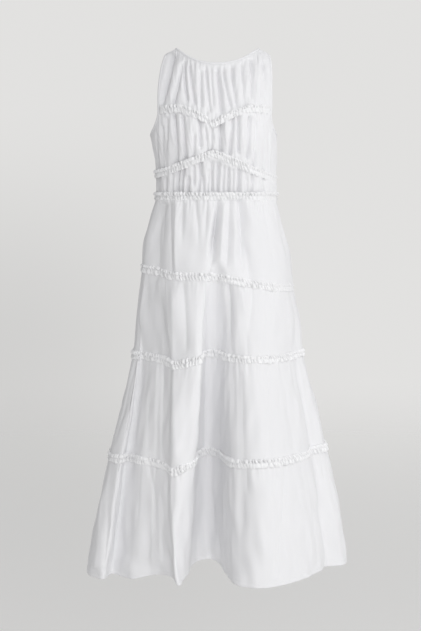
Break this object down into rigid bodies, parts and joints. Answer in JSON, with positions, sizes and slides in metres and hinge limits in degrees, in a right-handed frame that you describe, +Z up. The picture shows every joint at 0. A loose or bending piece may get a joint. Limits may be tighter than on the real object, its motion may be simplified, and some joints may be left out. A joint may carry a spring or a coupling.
{
  "type": "tiered midi dress",
  "caption": "Sleeveless worn dress, hollow and open at neck, arms and hem: gathered yoke, bust and midriff panels, flared skirt tiers, ruffle trims over the seams.",
  "frame": {"origin": "midway between the two shoulder seams' neck ends, at their height, where the wearer's shoulders hold the dress", "axes": "+Z up, the front of the dress faces -Y, +X is the wearer's left"},
  "size_m": [0.6175, 0.51, 1.2292],
  "materials": {
    "poplin": "white cotton poplin, crisp and matt with a faint sheen, plain weave, softly creased",
    "ruffle_trim": "narrow strip of the same white poplin, gathered down its middle, both edges frilled",
    "binding": "bias strip of the same white poplin, folded and edge-stitched"
  },
  "bodies": {
    "root": {"front_yoke": "poplin", "front_bust": "poplin", "front_midriff": "poplin", "back_bodice": "poplin", "tier_1_front": "poplin", "tier_1_back": "poplin", "tier_2_front": "poplin", "tier_2_back": "poplin", "tier_3_front": "poplin", "tier_3_back": "poplin", "tier_4_front": "poplin", "tier_4_back": "poplin", "ruffle_sweetheart": "ruffle_trim", "ruffle_underbust": "ruffle_trim", "ruffle_waist": "ruffle_trim", "ruffle_tier_2": "ruffle_trim", "ruffle_tier_3": "ruffle_trim", "ruffle_tier_4": "ruffle_trim", "neck_binding": "binding", "left_armhole_binding": "binding", "right_armhole_binding": "binding"}
  },
  "joints": []
}
